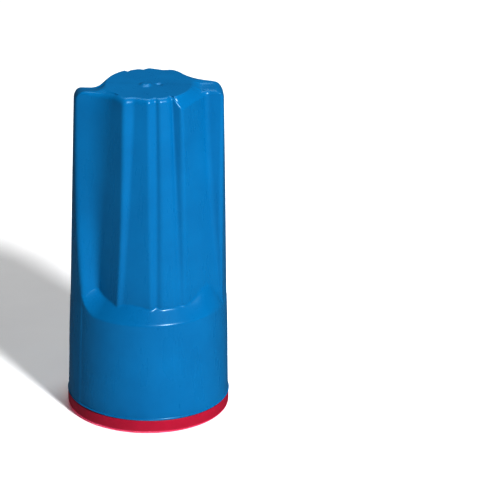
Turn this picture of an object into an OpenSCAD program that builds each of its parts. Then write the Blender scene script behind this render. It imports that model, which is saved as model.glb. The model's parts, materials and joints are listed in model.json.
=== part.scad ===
// Twist-on wire connector, sealed type: a winged, ribbed plastic shell with a conical
// square-wire spring and a sealing gel inside, closed by a snap-in end cap whose face is
// cut into hinged wedge flaps that the wires push open.
// Millimetres. The connector stands on its cap: +Z points at the closed end, the origin
// is the centre of the cap's rim face, and the two wings lie along +X and -X.

/* [Overall] */
// Height from the cap's rim face to the top of the closed end
total_h = 41.4; // [38:0.2:44]

/* [Cap] */
// Outer radius of the cap's flange
cap_r = 9.7; // [9.6:0.1:10.4]
// Thickness of the flange, from its rim face to the shell's edge
cap_h = 1.7; // [1.5:0.05:2.2]
// Radius of the round edge at the foot of the flange
cap_edge_r = 0.5; // [0.2:0.1:0.8]
// Radius of the recess in the cap's face, at the rim face
recess_mouth_r = 7.55; // [7.3:0.05:7.8]
// Radius of the recess at its floor
recess_floor_r = 6.8; // [6.7:0.05:7]
// Depth of the recess
recess_depth = 1.1; // [0.8:0.05:1.2]
// Height of the collar that holds the cap in the shell
collar_top = 6.5; // [6:0.1:7]

/* [Flaps] */
// Number of wedge flaps in the cap's face
flap_count = 12; // [12:12:12]
// Thickness of a flap
flap_t = 0.6; // [0.4:0.05:0.65]
// Radius of the hinge line of the flaps
hinge_r = 6.6; // [6.5:0.05:6.65]
// Width of the slit between two flaps
slit_w = 0.3; // [0.2:0.05:0.4]
// Radius of the thin scored web where the flap tips meet
web_r = 1; // [0.8:0.1:1.3]

/* [Shell] */
// Radius of the skirt just above the cap
skirt_r = 9.75; // [9.5:0.05:9.85]
// Radius of the skirt at the shoulder
shoulder_r = 9.42; // [9.2:0.02:9.5]
// Radius of the wings' outer faces at the closed end
wing_top_r = 8.85; // [8.4:0.05:9]
// Radius of the ribbed core where it rises from the shoulder
core_foot_r = 7.85; // [7.7:0.05:8.1]
// Radius of the ribbed core at the closed end
core_top_r = 5.15; // [5:0.05:5.4]
// Height of the lower edge of the shoulder
shoulder_low_z = 13.9; // [13.5:0.1:14.2]
// Height of the upper edge of the shoulder
shoulder_high_z = 15.8; // [15.5:0.1:16.5]
// Radius of the round outer corners at the wings' tops
wing_corner_r = 1.1; // [0.6:0.1:1.5]

/* [Cavity] */
// Radius of the bore in the skirt, which takes the cap's collar
skirt_bore_r = 8.35; // [8.3:0.05:8.4]
// Radius of the spring pocket at its mouth
pocket_mouth_r = 5.75; // [5.7:0.05:5.9]
// Radius of the spring pocket at its closed end
pocket_end_r = 3.25; // [3.2:0.05:3.4]
// Width of each of the four ribs that centre the spring
seat_rib_w = 0.8; // [0.6:0.1:1]

/* [Spring] */
// Side of the square spring wire
wire_w = 0.95; // [0.8:0.05:1]
// Inner radius of the spring at its mouth
spring_mouth_r = 3.9; // [3.8:0.05:4]
// Inner radius of the spring at its narrow end
spring_end_r = 1.9; // [1.8:0.05:2]
// Number of turns
spring_turns = 12; // [10:1:12]

/* [Hidden] */
FLAPS = ["flap_01", "flap_02", "flap_03", "flap_04", "flap_05", "flap_06",
         "flap_07", "flap_08", "flap_09", "flap_10", "flap_11", "flap_12"];

smooth_fn = 96;
cut = 0.5;                 // how far a cutting tool runs past the face it cuts
gate_h = 0.2;              // the moulding gate's stub on the closed end
gate_r = 0.6;
gate_x = -0.4;
gate_y = -0.35;
top_z = total_h - gate_h;

// Clearances between pieces that are moulded apart or move
hinge_gap = 0.03;
web_gap = 0.03;
flap_lean = 30;            // lean of a flap's back edge, in degrees
flap_tip_r = 0.2;          // a flap's tip stops this far from the cap's centre
collar_gap = 0.1;
gel_gap = 0.05;

// Spring and its pocket
spring_z0 = 15.6;
spring_z1 = 33;
pocket_z0 = 15;
pocket_z1 = 34;
seat_z = 13.2;             // ceiling of the skirt's bore, where the pocket's funnel starts
seat_rib_z = 16;
end_bore_r = 2.3;
end_bore_z = top_z - 2.4;
rib_gap = 0.05;

// Snap bead on the collar, and the groove that it sits in
bead_z = 5.4;
bead_h = 0.8;
bead_out = 0.25;
collar_inner_r = 7.45;

// Sealing gel: its surface in the skirt, clear of the open flaps, and the wires' way through it
gel_z = 10.2;
gel_channel_r = 4.1;
gel_core_z = 28.5;         // above this the gel also fills the spring's narrow end

// ---------------------------------------------------------------- shell

// Corners of half the outline between the wings: each has an angle round the axis, in
// degrees from one wing's centre line towards the other's, and a radius that stands off
// from the ribbed core. Both run from a value at the closed end to one at the shoulder.
// The same half outline, turned by 180 degrees, makes the other half.
rib_keys = [
    // angle at the top, at the foot, offset at the top, at the foot
    [56.5, 55, 0.8, 0.15],     // first rib's crest
    [66, 62.5, 0.15, -0.15],
    [82.5, 82.5, 0.3, 0.15],   // second rib's crest
    [95.5, 94, -0.05, -0.1],
    [104.5, 102, 0.15, 0.1],   // third rib's crest
    [116.5, 116.5, 0, -0.05],  // groove beside the buttress
    [122, 119.5, 1, 0.15],     // buttress rib's crest
];
deep_corner = [8, 28];         // wing's corner on its hollow side, at the top and at the foot
deep_valley = [19.5, 30.5];
deep_valley_off = [1, -0.4];
flat_corner = [9.5, 23];       // wing's corner on its buttress side
flat_bend = [10.5, 24];
flat_bend_r = [6.8, 9.1];

function mix(a, b, t) = a + (b - a) * t;
function clamp01(t) = max(0, min(1, t));
function ease(t) = t * t * (3 - 2 * t);

// 0 at the closed end, 1 at the shoulder
function down(z) = clamp01((top_z - z) / (top_z - shoulder_high_z));
function core_r(z) = mix(core_top_r, core_foot_r, down(z));
function corner_drop(z) =
    let (over = z - (top_z - wing_corner_r))
    over <= 0 ? 0 : wing_corner_r - sqrt(max(0, wing_corner_r ^ 2 - over ^ 2));
function outer_r(z) =
    z < shoulder_low_z ? mix(skirt_r, shoulder_r, clamp01((z - cap_h) / (shoulder_low_z - cap_h)))
                       : mix(shoulder_r, wing_top_r, (z - shoulder_low_z) / (top_z - shoulder_low_z))
                         - corner_drop(z);
// 1 on the skirt, 0 above the shoulder
function skirtness(z) = ease(clamp01((shoulder_high_z - z) / (shoulder_high_z - shoulder_low_z)));

// Corners of half the outline at height z, as [angle, radius]
function keys(z) =
    let (t = down(z), r = outer_r(z), c = core_r(z))
    concat(
        [[0, r],
         [mix(deep_corner[0], deep_corner[1], t), r],
         [mix(deep_valley[0], deep_valley[1], t), c + mix(deep_valley_off[0], deep_valley_off[1], t)]],
        [for (k = rib_keys) [mix(k[0], k[1], t), c + mix(k[2], k[3], t)]],
        [[180 - mix(flat_bend[0], flat_bend[1], t), mix(flat_bend_r[0], flat_bend_r[1], t)],
         [180 - mix(flat_corner[0], flat_corner[1], t), r],
         [180, r]]);

// Radius at angle a of the straight line between two corners
function chord_r(a, p, q) =
    p[1] * q[1] * sin(q[0] - p[0]) / (p[1] * sin(a - p[0]) + q[1] * sin(q[0] - a));

// Points along each stretch of the half outline
steps = [3, 3, 4, 1, 4, 1, 3, 2, 2, 5, 3, 4];
arc_stretches = [0, 11];   // these follow the outer face's circle and not a straight line

function half_ring(z) =
    let (k = keys(z), s = skirtness(z), r = outer_r(z))
    [for (i = [0:len(steps) - 1], j = [0:steps[i] - 1])
        let (a = mix(k[i][0], k[i + 1][0], j / steps[i]),
             line = len(search(i, arc_stretches)) > 0 ? r : chord_r(a, k[i], k[i + 1]))
        [a, mix(min(line, r), r, s)]];

function ring(z) =
    let (half = half_ring(z))
    [for (turn = [0, 180], p = half) [p[1] * cos(p[0] + turn), p[1] * sin(p[0] + turn), z]];

ring_heights = concat(
    [cap_h, cap_h + 5, shoulder_low_z],
    [for (i = [1:4]) mix(shoulder_low_z, shoulder_high_z, i / 4)],
    [for (i = [1:5]) mix(shoulder_high_z, top_z - wing_corner_r, i / 5)],
    [for (a = [30, 60, 90]) top_z - wing_corner_r * (1 - sin(a))]);

module outer_skin() {
    rings = [for (z = ring_heights) ring(z)];
    n = len(rings[0]);
    m = len(rings);
    points = concat([for (r = rings) each r], [[0, 0, ring_heights[0]], [0, 0, top_z]]);
    sides = [for (i = [0:m - 2], j = [0:n - 1], half = [0, 1])
        let (a = i * n + j, b = i * n + (j + 1) % n, c = a + n, d = b + n)
        half == 0 ? [a, c, b] : [b, c, d]];
    foot = [for (j = [0:n - 1]) [m * n, j, (j + 1) % n]];
    top = [for (j = [0:n - 1]) [m * n + 1, (m - 1) * n + (j + 1) % n, (m - 1) * n + j]];
    polyhedron(points, concat(sides, foot, top), convexity = 6);
}

module pocket_space() {
    rotate_extrude($fn = smooth_fn)
        polygon([
            [0, cap_h - cut], [skirt_bore_r, cap_h - cut],
            [skirt_bore_r, bead_z - bead_h / 2], [skirt_bore_r + bead_out, bead_z - bead_h / 4],
            [skirt_bore_r + bead_out, bead_z + bead_h / 4], [skirt_bore_r, bead_z + bead_h / 2],
            [skirt_bore_r, seat_z], [pocket_mouth_r, pocket_z0],
            [pocket_end_r, pocket_z1], [end_bore_r, pocket_z1],
            [end_bore_r, end_bore_z], [0, end_bore_z]]);
}

// The cone that the spring's outside lies on, grown by g
module spring_cone(g) {
    slope = (spring_mouth_r - spring_end_r) / (spring_z1 - spring_z0);
    out = spring_mouth_r + wire_w + g;
    rotate_extrude($fn = smooth_fn)
        polygon([
            [0, pocket_z0 - cut], [out + slope * (spring_z0 - pocket_z0 + cut), pocket_z0 - cut],
            [out - slope * (pocket_z1 - spring_z0), pocket_z1], [0, pocket_z1]]);
}

// Four ribs between the pocket's wall and the spring, grown by g
module seat_ribs(g) {
    difference() {
        for (a = [45, 135])
            rotate([0, 0, a])
                translate([-pocket_mouth_r - cut, -seat_rib_w / 2 - g, seat_rib_z - g])
                    cube([2 * (pocket_mouth_r + cut), seat_rib_w + 2 * g, spring_z1 - seat_rib_z + 2 * g]);
        spring_cone(rib_gap - g);
    }
}

module shell() {
    color("steelblue") {
        difference() {
            outer_skin();
            difference() {
                pocket_space();
                seat_ribs(0);
            }
        }
        translate([gate_x, gate_y, top_z - cut])
            cylinder(r = gate_r, h = cut + gate_h, $fn = smooth_fn);
    }
}

// ---------------------------------------------------------------- spring

module spring() {
    per_turn = 14;
    n = spring_turns * per_turn;
    rise = spring_z1 - spring_z0 - wire_w;
    corners = [[0, 0], [wire_w, 0], [wire_w, wire_w], [0, wire_w]];
    points = [for (i = [0:n], c = corners)
        let (t = i / n,
             a = 360 * i / per_turn,
             r = mix(spring_mouth_r, spring_end_r, t) + c[0])
        [r * cos(a), r * sin(a), spring_z0 + rise * t + c[1]]];
    sides = [for (i = [0:n - 1], j = [0:3], half = [0, 1])
        let (a = i * 4 + j, b = i * 4 + (j + 1) % 4, c = a + 4, d = b + 4)
        half == 0 ? [a, b, c] : [b, d, c]];
    ends = [[0, 3, 2], [0, 2, 1], [n * 4, n * 4 + 1, n * 4 + 2], [n * 4, n * 4 + 2, n * 4 + 3]];
    color("silver")
        polyhedron(points, concat(sides, ends), convexity = 20);
}

// ---------------------------------------------------------------- sealing gel

module sealant() {
    color("ghostwhite")
        difference() {
            rotate_extrude($fn = smooth_fn)
                polygon([
                    [0, gel_z + 1], [skirt_bore_r - gel_gap, gel_z],
                    [skirt_bore_r - gel_gap, seat_z - gel_gap],
                    [pocket_mouth_r - gel_gap, pocket_z0 - gel_gap],
                    [pocket_end_r - gel_gap, pocket_z1 - gel_gap],
                    [end_bore_r - gel_gap, pocket_z1 - gel_gap],
                    [end_bore_r - gel_gap, end_bore_z - gel_gap],
                    [0, end_bore_z - gel_gap]]);
            gel_hollow();
            seat_ribs(gel_gap);
        }
}

// The space in the gel that the spring and the wires take
module gel_hollow() {
    slope = (spring_mouth_r - spring_end_r) / (spring_z1 - spring_z0);
    top = spring_z1 + gel_gap;
    out_top = spring_end_r + wire_w + gel_gap;
    out_low = spring_mouth_r + wire_w + gel_gap;
    core = spring_end_r - gel_gap;
    rotate_extrude($fn = smooth_fn)
        polygon([
            [0, gel_z - cut], [gel_channel_r, gel_z - cut],
            [gel_channel_r, spring_z0 - gel_gap], [out_low, spring_z0 - gel_gap],
            [out_low, spring_z0], [out_top, top], [core, top], [core, gel_core_z],
            [0, gel_core_z]]);
}

// ---------------------------------------------------------------- cap

module cap_ring() {
    collar_r = skirt_bore_r - collar_gap;
    arc_steps = 6;
    color("crimson")
        rotate_extrude($fn = smooth_fn)
            polygon(concat(
                [[recess_mouth_r, 0]],
                [for (i = [0:arc_steps])
                    let (a = -90 + 90 * i / arc_steps)
                    [cap_r - cap_edge_r + cap_edge_r * cos(a), cap_edge_r + cap_edge_r * sin(a)]],
                [[cap_r, cap_h], [collar_r, cap_h],
                 [collar_r, bead_z - bead_h / 2],
                 [collar_r + bead_out, bead_z - bead_h / 4],
                 [collar_r + bead_out, bead_z + bead_h / 4],
                 [collar_r - bead_out, collar_top], [collar_inner_r, collar_top],
                 [collar_inner_r, recess_depth + collar_inner_r - hinge_r],
                 [hinge_r, recess_depth], [recess_floor_r, recess_depth]]));
}

// One wedge flap: its hinge is at the floor of the recess, and its back edge leans away
// from the ring so that it can swing in by 70 degrees
module flap(i) {
    half = 180 / flap_count;
    out = hinge_r - hinge_gap;
    along = [cos(half), sin(half)];
    inward = [sin(half), -cos(half)];
    edge = [
        flap_tip_r * along + web_gap * inward,
        web_r * along + web_gap * inward,
        web_r * along + slit_w / 2 * inward,
        (hinge_r + cut) * along + slit_w / 2 * inward];
    outline = concat(edge, [for (k = [len(edge) - 1:-1:0]) [edge[k][0], -edge[k][1]]]);
    color("hotpink")
        rotate([0, 0, 360 / flap_count * (i + 0.5)])
            intersection() {
                rotate_extrude($fn = smooth_fn)
                    polygon([
                        [0, recess_depth], [out, recess_depth],
                        [out - flap_t * tan(flap_lean), recess_depth + flap_t],
                        [0, recess_depth + flap_t]]);
                translate([0, 0, recess_depth - cut])
                    linear_extrude(flap_t + 2 * cut)
                        polygon(outline);
            }
}

shell();
spring();
sealant();
cap_ring();
for (i = [0:flap_count - 1]) flap(i);
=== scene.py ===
"""Twist-on wire connector, sealed type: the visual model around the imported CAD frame.

Lengths in this script are millimetres in the object's own frame (+Z at the closed end,
the wings along +X and -X). They are turned into metres where a mesh is made.
"""
import json
import math

import bpy
import numpy as np
from mathutils import Matrix, Vector

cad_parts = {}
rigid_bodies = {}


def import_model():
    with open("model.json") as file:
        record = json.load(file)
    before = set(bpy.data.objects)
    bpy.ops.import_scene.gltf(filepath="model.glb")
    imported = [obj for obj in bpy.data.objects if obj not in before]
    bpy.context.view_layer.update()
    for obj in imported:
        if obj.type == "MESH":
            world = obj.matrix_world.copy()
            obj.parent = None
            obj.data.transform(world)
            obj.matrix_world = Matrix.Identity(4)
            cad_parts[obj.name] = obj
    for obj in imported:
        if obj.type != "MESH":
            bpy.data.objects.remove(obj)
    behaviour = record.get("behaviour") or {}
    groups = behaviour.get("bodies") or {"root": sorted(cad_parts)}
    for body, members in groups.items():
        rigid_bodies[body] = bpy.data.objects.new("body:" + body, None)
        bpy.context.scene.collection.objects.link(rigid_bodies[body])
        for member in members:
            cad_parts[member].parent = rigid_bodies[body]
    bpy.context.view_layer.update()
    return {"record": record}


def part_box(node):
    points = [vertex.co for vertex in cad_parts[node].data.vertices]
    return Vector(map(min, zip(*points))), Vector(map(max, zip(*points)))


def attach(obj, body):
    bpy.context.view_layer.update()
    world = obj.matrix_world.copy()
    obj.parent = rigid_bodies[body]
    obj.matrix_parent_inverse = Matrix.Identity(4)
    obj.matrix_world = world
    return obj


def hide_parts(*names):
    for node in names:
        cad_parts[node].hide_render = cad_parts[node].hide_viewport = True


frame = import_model()

MM = 0.001
ROOT_BODY = frame["record"]["behaviour"]["joints"][0]["parent"]


def box_mm(node):
    """Lowest and highest corner of a CAD node, in millimetres."""
    low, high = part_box(node)
    return np.array(low) / MM, np.array(high) / MM


SHELL_LOW, SHELL_HIGH = box_mm("shell")
CAP_LOW, CAP_HIGH = box_mm("cap_ring")
SPRING_LOW, SPRING_HIGH = box_mm("spring")
GEL_LOW, GEL_HIGH = box_mm("sealant")
FLAP_LOW, FLAP_HIGH = box_mm("flap_01")

CAP_R = CAP_HIGH[0]
CAP_H = SHELL_LOW[2]
GATE_H = 0.2             # height of the moulding gate's stub on the closed end
TOP_Z = SHELL_HIGH[2] - GATE_H

# ------------------------------------------------------------------ small helpers


def mix(a, b, t):
    return a + (b - a) * t


def clamp01(t):
    return np.clip(t, 0.0, 1.0)


def ease(t):
    t = clamp01(t)
    return t * t * (3 - 2 * t)


def bump(x, centre, width):
    """1 at the centre, falling smoothly to 0 about two widths away."""
    return np.exp(-(((x - centre) / width) ** 2))


def soft_max(a, b, k):
    """The larger of two values, with their meeting rounded over about k."""
    h = clamp01(0.5 + 0.5 * (a - b) / k)
    return b + (a - b) * h + k * h * (1 - h)


def soft_min(a, b, k):
    """The smaller of two values, with their meeting rounded over about k."""
    return -soft_max(-a, -b, k)


def make_object(name, points_mm, faces):
    """A mesh object in metres from points in millimetres."""
    mesh = bpy.data.meshes.new(name)
    mesh.from_pydata((np.asarray(points_mm) * MM).tolist(), [], faces)
    mesh.validate()
    mesh.update()
    obj = bpy.data.objects.new(name, mesh)
    bpy.context.scene.collection.objects.link(obj)
    return obj


def shade(obj, angle=40):
    """Smooth shading, with edges sharper than the angle left crisp."""
    mesh = obj.data
    mesh.polygons.foreach_set("use_smooth", [True] * len(mesh.polygons))
    mesh.set_sharp_from_angle(angle=math.radians(angle))


def finish_piece(obj, body, slot, material, *nodes):
    """Gives a piece its material and its body, and hides the CAD nodes it stands for. The slot is not
    used.
    """
    obj.data.materials.append(material)
    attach(obj, body)
    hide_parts(*nodes)


def stack_faces(rows, columns):
    """Quads between neighbouring closed rings of equal length."""
    faces = []
    for i in range(rows - 1):
        for j in range(columns):
            a = i * columns + j
            b = i * columns + (j + 1) % columns
            faces.append((a, b, b + columns, a + columns))
    return faces


def fan_faces(first, columns, centre, flip):
    """Triangles from a ring to one point."""
    faces = []
    for j in range(columns):
        a = first + j
        b = first + (j + 1) % columns
        faces.append((b, a, centre) if flip else (a, b, centre))
    return faces


def revolve(name, profile, columns, height_change=None):
    """A closed profile of (radius, z) points turned about Z. It runs counterclockwise
    in the (radius, z) plane. height_change(radius, z, angle) lifts points of it."""
    profile = np.asarray(profile, float)
    angle = np.arange(columns) / columns * 2 * math.pi
    points = []
    for radius, z in profile:
        lift = height_change(radius, z, angle) if height_change else 0
        ring = np.stack([radius * np.cos(angle), radius * np.sin(angle), z + lift + 0 * angle], 1)
        points.append(ring)
    rows = len(profile)
    faces = stack_faces(rows, columns)
    last = (rows - 1) * columns
    for j in range(columns):
        k = (j + 1) % columns
        faces.append((last + j, last + k, k, j))
    return make_object(name, np.concatenate(points), faces)


def rounded_profile(corners, spacing=0.6):
    """Points of a closed outline whose corners (x, y, radius of the cut) are rounded."""
    n = len(corners)
    xy = np.array([c[:2] for c in corners], float)
    trims = [c[2] for c in corners]
    points = []
    for i in range(n):
        before = xy[i] - xy[i - 1]
        after = xy[(i + 1) % n] - xy[i]
        len_before = np.linalg.norm(before)
        len_after = np.linalg.norm(after)
        cut = min(trims[i], 0.45 * len_before, 0.45 * len_after)
        start = xy[i] - before / len_before * cut
        end = xy[i] + after / len_after * cut
        if cut > 0:
            for u in np.linspace(0, 1, 6):
                points.append((1 - u) ** 2 * start + 2 * u * (1 - u) * xy[i] + u * u * end)
        else:
            points.append(xy[i])
        next_cut = min(trims[(i + 1) % n], 0.45 * len_after)
        gap = len_after - cut - next_cut
        pieces = max(1, int(gap / spacing))
        direction = after / len_after
        for k in range(1, pieces):
            points.append(end + direction * gap * k / pieces)
    return np.array(points)


# ------------------------------------------------------------------ shell

SHOULDER_LOW_Z = 13.9
FOOT_Z = 15.8            # the ribs' foot values hold at and below this height
SKIRT_FOOT_R = SHELL_HIGH[0]
SHOULDER_R = 9.42        # envelope at the shoulder
WING_TOP_R = 8.85        # envelope at the closed end
CORE_FOOT_R = 7.85
CORE_TOP_R = 5.15
SKIRT_BORE_R = 8.35
BEAD_OUT = 0.25          # the snap bead's height, on the cap and in the shell's groove
BEAD_LOW_Z = 5.2
BEAD_HIGH_Z = 5.6
CORE_CLEARANCE = 0.30    # how far the shoulder's floor lies inside the ribbed core
WING_CORNER_R = 1.15
DISC_R = 5.15            # the round face of the closed end
DROP_AT_BUTTRESS = 1.0   # how far the upper edge lies below that face
DROP_AT_FLANK = 0.72
DROP_AT_HOLLOW = 0.36
GATE_X = -0.4
GATE_Y = -0.35
GATE_R = 0.75
DIMPLE_X = 1.15
DIMPLE_Y = -0.32
DIMPLE_R = 0.5
DIMPLE_DEPTH = 0.14
EDGE_START_Z = 38.6      # above this height the outline is a straight mix of two sections
EDGE_ROUNDING = 0.62     # height of the upper edge's rounding
FIRST_RIB_ROUNDING = 0.25  # added to it at the first rib's crest
WING_ROUNDING = 0.34
INNER_STEP = 0.004       # share of the edge's radius between rings kept apart near it

# Corners of half the outline between the wings, from one wing's centre line towards the
# other's. Each has its angle at the closed end, half way down and at the foot, its
# stand-off from the ribbed core at the closed end and at the foot, and the length cut
# off by its rounding at both.
RIB_KEYS = [
    ((54.5, 58.0, 57.0), (0.80, 0.10), (0.40, 0.25)),      # first rib's crest
    ((65.5, 63.8, 60.5), (0.06, -0.20), (0.25, 0.25)),
    ((84.5, 85.5, 87.0), (0.34, 0.17), (0.32, 0.30)),      # second rib's crest
    ((93.5, 93.0, 91.5), (-0.14, -0.18), (0.22, 0.20)),
    ((98.5, 98.0, 96.5), (0.18, 0.10), (0.35, 0.35)),      # third rib's face
    ((110.5, 109.5, 108.0), (0.16, 0.08), (0.40, 0.40)),
    ((117.0, 115.0, 113.5), (-0.12, -0.08), (0.20, 0.45)), # groove beside the buttress
    ((123.5, 120.5, 117.5), (1.00, 0.12), (0.40, 0.60)),   # buttress rib's crest
]
DEEP_CORNER = (5.5, 22.5)        # wing's corner on its hollow side: degrees at top, and change
DEEP_VALLEY = (23.0, 7.5)
DEEP_VALLEY_R = (5.85, 1.60)
FLAT_CORNER = (9.5, 13.5)        # wing's corner on its buttress side, from its centre line
FLAT_BEND = (10.3, 14.0)
FLAT_BEND_DEPTH = (2.08, 1.70)   # how far the bend beside it lies below the envelope
FLAT_INSET = 0.14                # how far the wing's flank is set in at the shoulder

CORNER_SAMPLES = 7
EDGE_SAMPLES = [12, 16, 4, 8, 4, 4, 8, 4, 5, 14, 8, 16]   # the last is the wing's outer face


def down(z):
    """0 at the closed end, 1 at the shoulder and below."""
    return float(clamp01((TOP_Z - z) / (TOP_Z - FOOT_Z)))


def through(values, t):
    """A smooth curve through values at t = 0, 0.5 and 1."""
    a, b, c = values
    return a * (1 - t) * (1 - 2 * t) + 4 * b * t * (1 - t) + c * t * (2 * t - 1)


def envelope_r(z):
    """Radius of the skirt and of the wings' outer faces."""
    heights = [CAP_H, CAP_H + 0.18, CAP_H + 0.28, CAP_H + 1.0, 4.5, 8.7, SHOULDER_LOW_Z, TOP_Z]
    radii = [SKIRT_FOOT_R, SKIRT_FOOT_R, SKIRT_FOOT_R - 0.06, SKIRT_FOOT_R - 0.08, SKIRT_FOOT_R - 0.11,
             9.58, SHOULDER_R, WING_TOP_R]
    return float(np.interp(z, heights, radii))


def outline_corners(z):
    """Corners of half the outline at height z, as (degrees, radius, cut)."""
    t = down(z)
    r = envelope_r(z)
    core = mix(CORE_TOP_R, CORE_FOOT_R, t)
    deep_corner = DEEP_CORNER[0] + DEEP_CORNER[1] * t ** 1.8
    deep_valley = DEEP_VALLEY[0] + DEEP_VALLEY[1] * t ** 2.5
    deep_valley_r = DEEP_VALLEY_R[0] + DEEP_VALLEY_R[1] * t ** 0.6
    quick = 1 - (1 - t) ** 2
    flat_corner = FLAT_CORNER[0] + FLAT_CORNER[1] * quick
    flat_bend = FLAT_BEND[0] + FLAT_BEND[1] * quick
    flat_depth = FLAT_BEND_DEPTH[0] - FLAT_BEND_DEPTH[1] * t ** 1.6
    corners = [(deep_corner, r, mix(0.40, 0.55, t)), (deep_valley, deep_valley_r, mix(2.00, 0.40, t))]
    for angles, offs, cuts in RIB_KEYS:
        corners.append((through(angles, t), core + mix(*offs, t ** 1.25), mix(*cuts, t)))
    corners.append((180 - flat_bend, r - flat_depth, mix(0.45, 0.60, t)))
    corners.append((180 - flat_corner, r - FLAT_INSET * t, mix(0.40, 0.70, t)))
    return corners


def polar(angle, radius):
    a = np.radians(angle)
    return np.stack([radius * np.cos(a), radius * np.sin(a)], -1)


def edge_point(p, q, u, is_arc):
    """Point at fraction u between two corners, along a line or along the envelope."""
    if is_arc:
        return polar(mix(p[0], q[0], u), mix(p[1], q[1], ease(1.6 * u)))
    return mix(polar(p[0], p[1]), polar(q[0], q[1]), u)


def section(z):
    """Closed outline of the winged and ribbed part at height z, counterclockwise. Each
    corner is cut by a curve, and the second half is the first turned by 180 degrees."""
    half = outline_corners(z)
    corners = half + [(a + 180, r, cut) for a, r, cut in half]
    n = len(corners)
    edges = []
    for i in range(n):
        p = corners[i]
        q = corners[(i + 1) % n]
        if i == n - 1:
            q = (q[0] + 360, q[1], q[2])
        is_arc = i % len(half) == len(half) - 1
        chord = np.linalg.norm(polar(p[0], p[1]) - polar(q[0], q[1]))
        edges.append((p, q, is_arc, chord))
    points = []
    for i in range(n):
        before = edges[i - 1]
        after = edges[i]
        cut = min(corners[i][2], 0.45 * before[3], 0.45 * after[3])
        start = edge_point(before[0], before[1], 1 - cut / before[3], before[2])
        end = edge_point(after[0], after[1], cut / after[3], after[2])
        corner = polar(corners[i][0], corners[i][1])
        for u in np.linspace(0, 1, CORNER_SAMPLES):
            points.append((1 - u) ** 2 * start + 2 * u * (1 - u) * corner + u * u * end)
        next_cut = min(corners[(i + 1) % n][2], 0.45 * after[3], 0.45 * edges[(i + 1) % n][3])
        samples = EDGE_SAMPLES[i % len(half)]
        for k in range(1, samples + 1):
            u = mix(cut / after[3], 1 - next_cut / after[3], k / (samples + 1))
            points.append(edge_point(after[0], after[1], u, after[2]))
    return np.array(points)


def corner_distance(u, v, radius):
    """How far a point is inside the quarter plane u > 0, v > 0 with a rounded corner."""
    near = (u < radius) & (v < radius)
    rounded = radius - np.hypot(radius - u, radius - v)
    return np.where(near, rounded, np.minimum(u, v))


def shoulder_r(angle, z):
    """Radius of the shoulder's own surface, without the ribs. It slopes up and in from
    the skirt, and turns up into the wing's hollow side with a rounded corner. The angle
    is from the wing's centre line, in degrees."""
    wall = DEEP_CORNER[0] + DEEP_CORNER[1] * down(z) ** 1.8
    u = np.radians(angle - wall) * SHOULDER_R + 0.5
    v = z - SHOULDER_LOW_Z
    rise = 1.85 + 3.4 * bump(angle, 150, 17)
    outer = corner_distance(u, v, 3.2)
    inner = corner_distance(u - 0.30, v - rise, 3.0)
    depth = np.where(outer <= 0, 0.0, outer / np.maximum(outer - inner, 1e-6))
    top = envelope_r(min(z, SHOULDER_LOW_Z))
    floor = mix(CORE_TOP_R, CORE_FOOT_R, down(z)) - CORE_CLEARANCE
    return soft_min(top + (floor - top) * depth, top, 0.22)


def ring_at(z, flat_section):
    """Angles and radii of the outline at height z, with the shoulder grown round the ribs."""
    angle = np.degrees(np.arctan2(flat_section[:, 1], flat_section[:, 0]))
    radius = np.hypot(flat_section[:, 0], flat_section[:, 1])
    grown = shoulder_r(angle % 180, z)
    radius = soft_max(radius, grown, 0.14)
    return angle, np.minimum(radius, envelope_r(z))


def shell_rows():
    """Rings of the shell's outside, from the skirt's foot to the closed end."""
    foot = section(FOOT_Z)
    columns = len(foot)
    foot_angle = np.degrees(np.unwrap(np.arctan2(foot[:, 1], foot[:, 0])))
    even_angle = foot_angle[0] + np.arange(columns) * 360 / columns
    rows = []
    lip = 0.16
    for a in np.linspace(0, math.pi / 2, 5):
        z = CAP_H + lip * (1 - math.cos(a))
        radius = envelope_r(z) - lip * (1 - math.sin(a))
        rows.append(np.column_stack([polar(even_angle, radius), np.full(columns, z)]))
    foot_step = CAP_H + np.array([0.2, 0.24, 0.28, 0.32, 0.6])
    skirt = np.linspace(3.0, 13.2, 9)
    shoulder = np.arange(13.4, 19.0, 0.12)
    ribs = np.linspace(19.2, EDGE_START_Z, 30)
    heights = np.concatenate([foot_step, skirt, shoulder, ribs])
    for z in heights:
        angle, radius = ring_at(z, section(z))
        angle = np.degrees(np.unwrap(np.radians(angle)))
        angle += 360 * round((even_angle[0] - angle[0]) / 360)
        evenness = 1 - ease((z - 3.0) / 9.0)
        points = polar(mix(angle, even_angle, evenness), radius)
        rows.append(np.column_stack([points, np.full(columns, z)]))
    return rows + top_edge_rows(columns), columns


def inward(outline):
    """Unit normals of a closed counterclockwise outline, pointing inwards."""
    along = np.roll(outline, -1, 0) - np.roll(outline, 1, 0)
    along /= np.linalg.norm(along, axis=1)[:, None]
    return np.stack([-along[:, 1], along[:, 0]], 1)


def smooth_round(values, passes):
    """Evens out values round a closed ring."""
    for _ in range(passes):
        values = (np.roll(values, 1, 0) + 2 * values + np.roll(values, -1, 0)) / 4
    return values


def wing_limit(z, drop):
    """Largest radius at height z under the wings' round outer corners."""
    over = clamp01((z - (TOP_Z - drop - WING_CORNER_R)) / WING_CORNER_R)
    face = np.interp(z, [FOOT_Z, TOP_Z], [envelope_r(FOOT_Z), WING_TOP_R])
    return face - WING_CORNER_R * (1 - np.sqrt(1 - over ** 2))


def edge_drop(angle):
    """How far the upper edge lies below the end's face: most on the buttress's crest,
    less along its flank, and least on the wing's hollow side. The angle is from the
    nearer wing's centre line, + on its hollow side."""
    stations = [-66, -62, -56, -12, 8, 21, 45]
    drops = [0, 0.3, DROP_AT_BUTTRESS, DROP_AT_FLANK, DROP_AT_HOLLOW, 0.7 * DROP_AT_HOLLOW, 0]
    return np.interp(angle, stations, drops)


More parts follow.
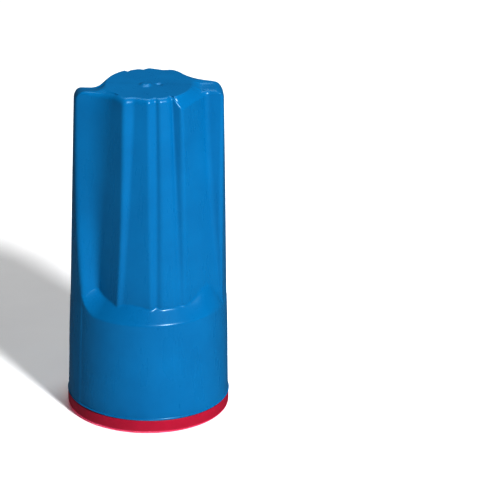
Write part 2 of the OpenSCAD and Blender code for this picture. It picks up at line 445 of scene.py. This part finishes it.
def top_edge_rows(columns):
    """Rings of the upper end: the last stretch of the ribs and the rounded edge."""
    low = section(EDGE_START_Z)
    high = section(TOP_Z)
    angle = (np.degrees(np.arctan2(high[:, 1], high[:, 0])) + 90) % 180 - 90
    radius = np.hypot(high[:, 0], high[:, 1])
    wing = ease((radius - 6.6) / 0.9)
    drop = smooth_round(edge_drop(angle) * ease((radius - DISC_R - 0.05) / 0.75), 6)
    rounding = EDGE_ROUNDING + FIRST_RIB_ROUNDING * bump(angle, 57, 8)
    rounding = smooth_round(mix(rounding, WING_ROUNDING, wing), 8)
    on_slope = ease((angle + 63) / 4) * (1 - ease((angle + 17) / 6))
    turned = np.radians(mix(90, 45, smooth_round(on_slope, 5)))
    top = TOP_Z - drop
    radial = -high / radius[:, None]
    crest = ease((radius - DISC_R - 0.25) / 0.5) * bump(angle, -59, 5)
    direction = smooth_round(mix(radial, inward(high), np.maximum(wing, crest)[:, None]), 4)
    direction /= np.linalg.norm(direction, axis=1)[:, None]
    rows = []

    def add_row(z, inset):
        share = ((z - EDGE_START_Z) / (TOP_Z - EDGE_START_Z))[:, None]
        moved = mix(low, high, share) + direction * inset[:, None]
        reach = np.hypot(moved[:, 0], moved[:, 1])
        moved = moved * np.minimum(1.0, wing_limit(z, drop) / reach)[:, None]
        rows.append(np.column_stack([moved, z]))

    for share in (0.3, 0.55, 0.75, 0.9, 1.0):
        add_row(mix(EDGE_START_Z, top - rounding, share), np.zeros(columns))
    for share in np.linspace(0.12, 1, 9):
        a = share * turned
        add_row(top - rounding * (1 - np.sin(a)), rounding * (1 - np.cos(a)))
    return rows


def top_height(x, y, edge_r, edge_z):
    """Height of the closed end between its edge and its middle: a round face, which the
    wings' tops and the buttresses' slopes lie below, with the gate's stub and dimple."""
    r = np.hypot(x, y)
    step = DISC_R + np.interp(TOP_Z - edge_z, [DROP_AT_HOLLOW, DROP_AT_FLANK], [1.3, 0.42])
    start = np.maximum(mix(edge_r, step, ease((edge_r - 6.3) / 1.3)), DISC_R)
    rise = clamp01((r - DISC_R + 0.05) / np.maximum(start - DISC_R + 0.05, 0.1))
    low = mix(rise, ease(rise), 0.6)
    stub = GATE_H * ease((GATE_R - np.hypot(x - GATE_X, y - GATE_Y)) / 0.3)
    dimple = DIMPLE_DEPTH * ease((DIMPLE_R - np.hypot(x - DIMPLE_X, y - DIMPLE_Y)) / 0.35)
    return mix(TOP_Z, edge_z, low) + stub - dimple


def top_rows(last):
    """Rings of the closed end, from its edge to its middle."""
    edge_r = np.hypot(last[:, 0], last[:, 1])
    targets = [DISC_R + d for d in (0.45, 0.36, 0.27, 0.18, 0.09, 0.0, -0.08, -0.2, -0.4)]
    targets += list(np.linspace(4.4, 0.25, 22))
    rows = []
    for k in range(1, 6):
        rows.append(mix(edge_r, DISC_R + 0.5, k / 6))
    rows = [np.minimum(r, edge_r * (1 - INNER_STEP * (k + 1))) for k, r in enumerate(rows)]
    for k, target in enumerate(targets):
        rows.append(np.minimum(edge_r * (1 - INNER_STEP * (k + 6)), target))
    points = []
    for r in rows:
        xy = last[:, :2] * (r / edge_r)[:, None]
        points.append(np.column_stack([xy, top_height(xy[:, 0], xy[:, 1], edge_r, last[:, 2])]))
    return points


def inner_rows(columns):
    """Rings of the shell's cavity, from the foot to the end of the bore."""
    groove_r = SKIRT_BORE_R + BEAD_OUT
    profile = [
        (SKIRT_BORE_R + 0.15, CAP_H), (SKIRT_BORE_R, CAP_H + 0.15), (SKIRT_BORE_R, 4.9),
        (groove_r, BEAD_LOW_Z), (groove_r, BEAD_HIGH_Z), (SKIRT_BORE_R, 5.9),
        (SKIRT_BORE_R, 12.9), (8.0, 13.35), (5.9, 14.85), (5.75, 15.1)]
    for z in np.linspace(15.6, 33.0, 30):
        profile.append((np.interp(z, [15, 34], [5.75, 3.25]), z))
    profile += [(3.25, 34), (2.3, 34), (2.3, 38.6), (2.1, 38.8)]
    angle = np.arange(columns) * 360 / columns
    rows = []
    for radius, z in profile:
        r = np.full(columns, float(radius))
        if 16.0 < z < 33.2:
            cone = np.interp(z, [15.6, 33.0], [4.85, 2.85]) + 0.05
            across = np.abs(np.sin(np.radians(2 * (angle - 45) % 360))) * radius / 2
            rib = ease((0.65 - across) / 0.3)
            r = mix(r, np.minimum(r, cone), rib)
        rows.append((angle, r, z))
    return rows


def build_shell(material):
    """One closed mesh: the cavity's rings from its end to the foot, then the outside's."""
    rows, columns = shell_rows()
    start_angle = math.degrees(math.atan2(rows[0][0][1], rows[0][0][0]))
    points = rows + top_rows(rows[-1])
    inside = []
    for angle, radius, z in inner_rows(columns):
        inside.append(np.column_stack([polar(angle + start_angle, radius), np.full(columns, z)]))
    cloud = inside[::-1] + points
    faces = stack_faces(len(cloud), columns)
    total = np.concatenate(cloud)
    inner_centre = len(total)
    outer_centre = inner_centre + 1
    centre_z = float(top_height(0.0, 0.0, DISC_R, TOP_Z))
    total = np.vstack([total, [0, 0, inside[-1][0][2]], [0, 0, centre_z]])
    faces += fan_faces(0, columns, inner_centre, True)
    faces += fan_faces((len(cloud) - 1) * columns, columns, outer_centre, False)
    obj = make_object("shell_moulding", total, faces)
    shade(obj, 50)
    finish_piece(obj, ROOT_BODY, "shell_plastic", material, "shell")


# ------------------------------------------------------------------ spring

WIRE_W = 0.95
WIRE_CORNER = 0.14
SPRING_MOUTH_R = 3.9
SPRING_END_R = 1.9
SPRING_TURNS = 12


def build_spring(material):
    """A conical coil of square wire, with its ends closed."""
    per_turn = 44
    n = SPRING_TURNS * per_turn
    rise = SPRING_HIGH[2] - SPRING_LOW[2] - WIRE_W
    square = [(0, 0), (WIRE_W, 0), (WIRE_W, WIRE_W), (0, WIRE_W)]
    wire = rounded_profile([(x, y, WIRE_CORNER) for x, y in square], 1)
    wire = wire[::-1]
    points = []
    for i in range(n + 1):
        t = i / n
        a = 2 * math.pi * i / per_turn
        r = mix(SPRING_MOUTH_R, SPRING_END_R, t)
        for across, up in wire:
            z = SPRING_LOW[2] + rise * t + up
            points.append(((r + across) * math.cos(a), (r + across) * math.sin(a), z))
    loop = len(wire)
    faces = stack_faces(n + 1, loop)
    first = np.mean(points[:loop], 0)
    last = np.mean(points[-loop:], 0)
    points += [first, last]
    faces += fan_faces(0, loop, len(points) - 2, True)
    faces += fan_faces(n * loop, loop, len(points) - 1, False)
    obj = make_object("spring_coil", points, faces)
    shade(obj, 50)
    finish_piece(obj, ROOT_BODY, "spring_steel", material, "spring")


# ------------------------------------------------------------------ sealing gel

GEL_CHANNEL_R = 4.1


def build_gel(material):
    """The filling round the spring, with its wire channel open and a wavy mouth."""
    wall = GEL_HIGH[0]
    gel_z = GEL_LOW[2]
    corners = [
        (GEL_CHANNEL_R, gel_z + 0.75, 0.5), (6.2, gel_z + 0.35, 0.6), (wall, gel_z, 0.12),
        (wall, 13.15, 0.1), (5.7, 14.95, 0.2), (3.2, 33.95, 0.1), (2.25, 33.95, 0.1),
        (2.25, 38.7, 0.2), (0.02, 38.7, 0), (0.02, 28.5, 0), (1.85, 28.5, 0.2), (1.85, 33.05, 0.1),
        (2.9, 33.05, 0.1), (4.9, 15.6, 0.1), (GEL_CHANNEL_R, 15.55, 0.1)]
    profile = rounded_profile(corners, 0.7)

    def waves(radius, z, angle):
        if z > gel_z + 1.2:
            return 0.0
        swell = 0.06 * np.sin(3 * angle + 0.7) + 0.04 * np.sin(5 * angle + 2.1)
        return np.abs(swell) * ease((wall - radius) / 1.5)

    obj = revolve("gel_filling", profile, 144, waves)
    shade(obj, 50)
    finish_piece(obj, ROOT_BODY, "gel", material, "sealant")


# ------------------------------------------------------------------ end cap

RECESS_MOUTH_R = 7.55
RECESS_FLOOR_R = 6.8
RECESS_DEPTH = 1.1
HINGE_R = 6.6
COLLAR_INNER_R = 7.45
COLLAR_GAP = 0.1         # between the collar and the skirt's bore
RIM_CORNER = 0.5         # length cut off the rim's outer corner by its rounding
GROOVE_DEPTH = 0.16
GROOVE_HALF_W = 0.17
GROOVE_INNER_R = 8.0
GROOVE_OUTER_R = 9.05


def rim_grooves(radius, z, angle):
    """Plain V grooves across the rim face, one in line with each slit."""
    turn = angle / (2 * math.pi) * FLAP_COUNT
    across = np.abs(turn - np.round(turn)) * 2 * math.pi / FLAP_COUNT * radius
    inside = clamp01(1 - across / GROOVE_HALF_W)
    inside = inside * ease((radius - GROOVE_INNER_R) / 0.12) * ease((GROOVE_OUTER_R - radius) / 0.12)
    return GROOVE_DEPTH * inside * (z < 0.02)


def build_cap_ring(material):
    """The flange, the sloping recess and the collar with its snap bead."""
    collar_r = SKIRT_BORE_R - COLLAR_GAP
    bead_r = collar_r + BEAD_OUT
    outline = [
        (RECESS_MOUTH_R, 0, 0.16), (CAP_R, 0, RIM_CORNER), (CAP_R, CAP_H, 0.14),
        (collar_r, CAP_H, 0.05), (collar_r, 5.0, 0.1), (bead_r, BEAD_LOW_Z, 0.1),
        (bead_r, BEAD_HIGH_Z, 0.1), (collar_r - 0.25, CAP_HIGH[2], 0.1),
        (COLLAR_INNER_R, CAP_HIGH[2], 0.1),
        (COLLAR_INNER_R, RECESS_DEPTH + COLLAR_INNER_R - HINGE_R, 0.1),
        (HINGE_R, RECESS_DEPTH, 0), (RECESS_FLOOR_R, RECESS_DEPTH, 0.1)]
    profile = rounded_profile(outline, 0.5)
    rim = []
    for point, following in zip(profile, np.roll(profile, -1, 0)):
        rim.append(point)
        if point[1] < 0.01 and following[1] < 0.01 and following[0] > point[0] + 0.2:
            steps = int((following[0] - point[0]) / 0.06)
            for k in range(1, steps):
                rim.append(mix(point, following, k / steps))
    obj = revolve("end_cap", rim, 720, rim_grooves)
    shade(obj, 45)
    finish_piece(obj, ROOT_BODY, "cap_plastic", material, "cap_ring")


# ------------------------------------------------------------------ flaps

FLAP_COUNT = 12
FLAP_T = FLAP_HIGH[2] - FLAP_LOW[2]
SLIT_W = 0.3
WEB_R = 1.0
WEB_GAP = 0.03
HINGE_GAP = 0.03
FLAP_TIP = 0.25          # distance of the flaps' tips from the cap's centre
FLAP_LEAN = 30           # degrees that the hinge edge leans, so that the flap clears the ring
FLAP_EDGE = 0.05         # length cut off the flaps' edges


def flap_half_width(x):
    """Half the flap's width at distance x from the cap's centre."""
    half = math.radians(180 / FLAP_COUNT)
    gap = mix(WEB_GAP, SLIT_W / 2, float(ease((x - WEB_R + 0.1) / 0.2)))
    return max(0.008, x * math.tan(half) - gap / math.cos(half))


def build_flap(index, material):
    """One wedge flap, from its tip to its leaning hinge edge, with eased edges."""
    name = f"flap_{index + 1:02d}"
    stations = np.concatenate([np.linspace(0, 0.1, 5), np.linspace(0.11, 0.17, 6),
                               np.linspace(0.2, 0.985, 22), [1.0]])
    end_r = HINGE_R - HINGE_GAP
    points = []
    across_steps = 5
    for s in stations:
        x_middle = mix(FLAP_TIP, end_r, s)
        half = flap_half_width(x_middle)
        b = min(FLAP_EDGE, 0.4 * half)
        loop = []
        for k in range(across_steps):
            loop.append((mix(-half + b, half - b, k / (across_steps - 1)), 0.0))
        c = 0.3 * b
        loop += [(half - c, c), (half, b), (half, FLAP_T - b), (half - c, FLAP_T - c)]
        for k in range(across_steps):
            loop.append((mix(half - b, -half + b, k / (across_steps - 1)), FLAP_T))
        loop += [(-half + c, FLAP_T - c), (-half, FLAP_T - b), (-half, b), (-half + c, c)]
        for y, z in loop:
            reach = math.sqrt((end_r - z * math.tan(math.radians(FLAP_LEAN))) ** 2 - y * y)
            x = mix(FLAP_TIP, reach, s)
            points.append((x, y, FLAP_LOW[2] + z))
    loop_n = 2 * across_steps + 8
    rows = len(stations)
    faces = stack_faces(rows, loop_n)
    first = np.mean(points[:loop_n], 0)
    last = np.mean(points[-loop_n:], 0)
    points = np.vstack([points, first, last])
    faces += fan_faces(0, loop_n, len(points) - 2, True)
    faces += fan_faces((rows - 1) * loop_n, loop_n, len(points) - 1, False)
    turn = math.radians(360 / FLAP_COUNT * (index + 0.5))
    spin = np.array([[math.cos(turn), math.sin(turn), 0], [-math.sin(turn), math.cos(turn), 0], [0, 0, 1]])
    obj = make_object(name + "_wedge", points @ spin, faces)
    shade(obj, 35)
    finish_piece(obj, name, "cap_plastic", material, name)


# ------------------------------------------------------------------ materials


class Nodes:
    """A material's node tree, with short calls for the nodes used here."""

    def __init__(self, name):
        self.material = bpy.data.materials.new(name)
        self.material.use_nodes = True
        self.tree = self.material.node_tree
        self.shader = self.tree.nodes["Principled BSDF"]

    def node(self, kind, **settings):
        made = self.tree.nodes.new(kind)
        for key, value in settings.items():
            setattr(made, key, value)
        return made

    def link(self, out, into):
        self.tree.links.new(out, into)

    def coords(self, scale=(1, 1, 1)):
        place = self.node("ShaderNodeTexCoord")
        mapping = self.node("ShaderNodeMapping")
        mapping.inputs["Scale"].default_value = scale
        self.link(place.outputs["Object"], mapping.inputs["Vector"])
        return mapping.outputs["Vector"]

    def noise(self, vector, scale, detail=4.0, roughness=0.55):
        made = self.node("ShaderNodeTexNoise")
        made.inputs["Scale"].default_value = scale
        made.inputs["Detail"].default_value = detail
        made.inputs["Roughness"].default_value = roughness
        self.link(vector, made.inputs["Vector"])
        return made.outputs["Fac"]

    def ramp(self, value, stops):
        made = self.node("ShaderNodeValToRGB")
        elements = made.color_ramp.elements
        while len(elements) < len(stops):
            elements.new(0.5)
        for element, (place, colour) in zip(elements, stops):
            element.position = place
            element.color = (*colour, 1.0)
        self.link(value, made.inputs["Fac"])
        return made.outputs["Color"]

    def blend(self, factor, a, b):
        made = self.node("ShaderNodeMix", data_type="RGBA", blend_type="MIX")
        self.feed(factor, made.inputs["Factor"])
        self.feed(a, made.inputs[6])
        self.feed(b, made.inputs[7])
        return made.outputs[2]

    def feed(self, value, socket):
        if isinstance(value, bpy.types.NodeSocket):
            self.link(value, socket)
        else:
            socket.default_value = value

    def math(self, kind, a, b=0.0, clamp=False):
        made = self.node("ShaderNodeMath", operation=kind, use_clamp=clamp)
        self.feed(a, made.inputs[0])
        self.feed(b, made.inputs[1])
        return made.outputs[0]

    def map_range(self, value, low, high, to_low, to_high):
        made = self.node("ShaderNodeMapRange")
        made.inputs["From Min"].default_value = low
        made.inputs["From Max"].default_value = high
        made.inputs["To Min"].default_value = to_low
        made.inputs["To Max"].default_value = to_high
        self.link(value, made.inputs["Value"])
        return made.outputs["Result"]

    def bump(self, height, strength, distance):
        made = self.node("ShaderNodeBump")
        made.inputs["Strength"].default_value = strength
        made.inputs["Distance"].default_value = distance
        self.link(height, made.inputs["Height"])
        self.link(made.outputs["Normal"], self.shader.inputs["Normal"])


def shell_plastic():
    """Satin blue plastic with faint flow streaks along the axis."""
    m = Nodes("blue_polypropylene")
    place = m.coords()
    streaks = m.coords((1.0, 1.0, 0.25))
    cloud = m.noise(place, 180.0, 3.0)
    flow = m.noise(streaks, 700.0, 4.0)
    grain = m.noise(place, 5200.0, 2.0)
    base = m.ramp(cloud, [(0.3, (0.0003, 0.125, 0.270)), (0.7, (0.0004, 0.141, 0.298))])
    colour = m.blend(m.map_range(flow, 0.35, 0.75, 0.0, 0.14), base, (0.0006, 0.156, 0.326, 1.0))
    m.link(colour, m.shader.inputs["Base Color"])
    m.link(m.map_range(flow, 0.3, 0.7, 0.26, 0.31), m.shader.inputs["Roughness"])
    m.shader.inputs["IOR"].default_value = 1.49
    m.shader.inputs["Specular IOR Level"].default_value = 0.22
    height = m.math("ADD", m.math("MULTIPLY", flow, 0.7), m.math("MULTIPLY", grain, 0.3))
    m.bump(height, 0.08, 0.00005)
    return m.material


def cap_plastic(with_hub):
    """Mottled pink-red plastic, deeper in colour on the side than on the face. The flaps
    also have the whitening round the hub."""
    m = Nodes("pink_red_plastic" if not with_hub else "pink_red_plastic_flap")
    place = m.coords()
    cloud = m.noise(place, 420.0, 5.0, 0.6)
    speck = m.noise(place, 1500.0, 3.0, 0.6)
    grain = m.noise(place, 5000.0, 2.0)
    low = m.node("ShaderNodeSeparateXYZ")
    m.link(m.node("ShaderNodeTexCoord").outputs["Object"], low.inputs[0])
    on_face = 1.0 if with_hub else m.map_range(low.outputs["Z"], 0.0001, 0.0004, 1.0, 0.0)
    side = m.ramp(cloud, [(0.30, (0.300, 0.006, 0.036)), (0.75, (0.345, 0.007, 0.042))])
    face = m.ramp(cloud, [(0.30, (0.64, 0.055, 0.150)), (0.52, (0.72, 0.090, 0.210)),
                          (0.75, (0.79, 0.160, 0.300))])
    base = m.blend(on_face, side, face)
    whitened = m.math("MULTIPLY", m.map_range(speck, 0.56, 0.74, 0.0, 0.55), on_face)
    colour = m.blend(whitened, base, (0.88, 0.40, 0.52, 1.0))
    if with_hub:
        colour = whitening(m, colour)
    m.link(colour, m.shader.inputs["Base Color"])
    m.link(m.map_range(speck, 0.3, 0.7, 0.42, 0.60), m.shader.inputs["Roughness"])
    m.shader.inputs["IOR"].default_value = 1.49
    m.shader.inputs["Specular IOR Level"].default_value = 0.25
    height = m.math("ADD", m.math("MULTIPLY", speck, 0.7), m.math("MULTIPLY", grain, 0.3))
    m.bump(height, 0.45, 0.00008)
    return m.material


def whitening(m, colour):
    """Stress-whitened plastic round the cap's centre and beside the slits."""
    place = m.node("ShaderNodeTexCoord")
    split = m.node("ShaderNodeSeparateXYZ")
    m.link(place.outputs["Object"], split.inputs[0])
    x = split.outputs["X"]
    y = split.outputs["Y"]
    slit_spacing = 2 * math.pi / FLAP_COUNT
    radius = m.math("SQRT", m.math("ADD", m.math("MULTIPLY", x, x), m.math("MULTIPLY", y, y)))
    angle = m.math("ARCTAN2", y, x)
    turn = m.math("DIVIDE", angle, slit_spacing)
    off = m.math("ABSOLUTE", m.math("SUBTRACT", turn, m.math("ROUND", turn)))
    across = m.math("MULTIPLY", m.math("MULTIPLY", off, slit_spacing), radius)
    near_slit = m.map_range(across, 0.00015, 0.00042, 0.55, 0.0)
    hub = m.map_range(radius, 0.0005, 0.0021, 0.75, 0.0)
    rays = m.noise(m.coords(), 900.0, 3.0)
    broken = m.map_range(rays, 0.35, 0.6, 0.35, 1.0)
    amount = m.math("MULTIPLY", m.math("MAXIMUM", near_slit, hub), broken, True)
    return m.blend(amount, colour, (0.92, 0.48, 0.54, 1.0))


def spring_steel():
    """Plated wire with fine drawing marks."""
    m = Nodes("plated_spring_steel")
    place = m.coords()
    draw = m.noise(place, 900.0, 4.0)
    tone = m.ramp(draw, [(0.3, (0.50, 0.50, 0.49)), (0.7, (0.66, 0.66, 0.64))])
    m.link(tone, m.shader.inputs["Base Color"])
    m.shader.inputs["Metallic"].default_value = 1.0
    m.link(m.map_range(draw, 0.3, 0.7, 0.18, 0.34), m.shader.inputs["Roughness"])
    m.bump(draw, 0.15, 0.00003)
    return m.material


def gel():
    """Cloudy, partly clear silicone gel."""
    m = Nodes("silicone_gel")
    place = m.coords()
    cloud = m.noise(place, 350.0, 3.0)
    tone = m.ramp(cloud, [(0.3, (0.60, 0.62, 0.60)), (0.7, (0.78, 0.79, 0.76))])
    m.link(tone, m.shader.inputs["Base Color"])
    m.link(m.map_range(cloud, 0.3, 0.7, 0.06, 0.16), m.shader.inputs["Roughness"])
    m.shader.inputs["IOR"].default_value = 1.41
    m.shader.inputs["Transmission Weight"].default_value = 0.35
    m.bump(cloud, 0.25, 0.00015)
    return m.material


def floor_paper():
    """Pale matt paper from above, see-through from below."""
    m = Nodes("pale_floor")
    fibre = m.noise(m.coords(), 60.0, 3.0)
    tone = m.ramp(fibre, [(0.3, (0.86, 0.86, 0.865)), (0.7, (0.90, 0.90, 0.90))])
    m.link(tone, m.shader.inputs["Base Color"])
    m.shader.inputs["Roughness"].default_value = 0.85
    see_through = m.node("ShaderNodeBsdfTransparent")
    sides = m.node("ShaderNodeMixShader")
    m.link(m.node("ShaderNodeNewGeometry").outputs["Backfacing"], sides.inputs["Fac"])
    m.link(m.shader.outputs["BSDF"], sides.inputs[1])
    m.link(see_through.outputs["BSDF"], sides.inputs[2])
    m.link(sides.outputs["Shader"], m.tree.nodes["Material Output"].inputs["Surface"])
    return m.material


# ------------------------------------------------------------------ stage

CAMERA_DISTANCE = 600.0
CAMERA_ELEVATION = 23.4
CAMERA_AZIMUTH = -96.5        # where the camera stands, round +Z from +X
CAMERA_ROLL = 0.58
AIM_RIGHT = 12.14             # how far the aim is to the right of the object's axis
AIM_HEIGHT = 19.91
LENS = 360.7
WORLD_STRENGTH = 0.11
PICTURE_GAMMA = 0.72
FLOOR_Z = CAP_LOW[2] - 0.02


def place_camera():
    """A long lens, aimed a little to the right of the object and rolled slightly."""
    azimuth = math.radians(CAMERA_AZIMUTH)
    elevation = math.radians(CAMERA_ELEVATION)
    right = Vector((-math.sin(azimuth), math.cos(azimuth), 0))
    towards = Vector((math.cos(azimuth) * math.cos(elevation), math.sin(azimuth) * math.cos(elevation),
                      math.sin(elevation)))
    up = towards.cross(right)
    roll = math.radians(CAMERA_ROLL)
    rolled_right = right * math.cos(roll) + up * math.sin(roll)
    rolled_up = up * math.cos(roll) - right * math.sin(roll)
    aim = (right * AIM_RIGHT + Vector((0, 0, AIM_HEIGHT))) * MM
    data = bpy.data.cameras.new("camera")
    data.lens = LENS
    data.sensor_width = 36.0
    data.clip_start = 0.01
    data.clip_end = 20.0
    camera = bpy.data.objects.new("camera", data)
    camera.matrix_world = Matrix((
        (rolled_right.x, rolled_up.x, towards.x, 0),
        (rolled_right.y, rolled_up.y, towards.y, 0),
        (rolled_right.z, rolled_up.z, towards.z, 0),
        (0, 0, 0, 1)))
    camera.location = aim + towards * CAMERA_DISTANCE * MM
    bpy.context.scene.collection.objects.link(camera)
    bpy.context.scene.camera = camera


def area_light(name, azimuth, elevation, distance, size, power):
    """A soft light aimed at the object's middle. Azimuth is from the camera, + to its right."""
    data = bpy.data.lights.new(name, "AREA")
    data.shape = "DISK"
    data.size = size * MM
    data.energy = power
    light = bpy.data.objects.new(name, data)
    a = math.radians(CAMERA_AZIMUTH + azimuth)
    e = math.radians(elevation)
    direction = Vector((math.cos(a) * math.cos(e), math.sin(a) * math.cos(e), math.sin(e)))
    target = Vector((0, 0, TOP_Z / 2 * MM))
    light.location = target + direction * distance * MM
    light.rotation_euler = direction.to_track_quat("Z", "Y").to_euler()
    bpy.context.scene.collection.objects.link(light)


def make_lights():
    """A small key light, soft lights round it, and a dim world. The camera itself sees a
    brighter world, which lights nothing."""
    area_light("key", 31, 40, 380, 55, 2.6)
    area_light("fill", -60, 30, 420, 320, 0.03)
    area_light("top", 170, 70, 420, 300, 1.2)
    area_light("under", 0, -82, 380, 160, 0.9)
    world = bpy.data.worlds.new("studio")
    world.use_nodes = True
    background = world.node_tree.nodes["Background"]
    background.inputs["Color"].default_value = (1, 1, 1, 1)
    backdrop = world.node_tree.nodes.new("ShaderNodeBackground")
    seen = world.node_tree.nodes.new("ShaderNodeLightPath")
    choice = world.node_tree.nodes.new("ShaderNodeMixShader")
    links = world.node_tree.links
    links.new(seen.outputs["Is Camera Ray"], choice.inputs["Fac"])
    links.new(background.outputs["Background"], choice.inputs[1])
    links.new(backdrop.outputs["Background"], choice.inputs[2])
    links.new(choice.outputs["Shader"], world.node_tree.nodes["World Output"].inputs["Surface"])
    background.inputs["Strength"].default_value = WORLD_STRENGTH
    bpy.context.scene.world = world


def make_floor():
    """A flat round sheet just under the cap. It is left out of reflections and casts no
    shadow, and its underside is see-through, so that views from below show the cap."""
    radii = np.concatenate([np.linspace(20, 400, 20), np.linspace(450, 2500, 24)])
    columns = 96
    angle = np.arange(columns) / columns * 2 * math.pi
    rows = []
    for r in radii:
        rows.append(np.stack([r * np.cos(angle), r * np.sin(angle), np.full(columns, FLOOR_Z)], 1))
    points = np.vstack(rows + [[[0, 0, FLOOR_Z]]])
    faces = stack_faces(len(radii), columns)
    faces = [tuple(reversed(f)) for f in faces]
    faces += fan_faces(0, columns, len(points) - 1, False)
    obj = make_object("floor", points, faces)
    obj.data.materials.append(floor_paper())
    obj.visible_glossy = False
    obj.visible_shadow = False


# ------------------------------------------------------------------ scene

build_shell(shell_plastic())
build_spring(spring_steel())
build_gel(gel())
build_cap_ring(cap_plastic(False))
flap_material = cap_plastic(True)
for flap_index in range(FLAP_COUNT):
    build_flap(flap_index, flap_material)

place_camera()
make_lights()
make_floor()
bpy.context.scene.view_settings.view_transform = "Standard"
bpy.context.scene.view_settings.gamma = PICTURE_GAMMA
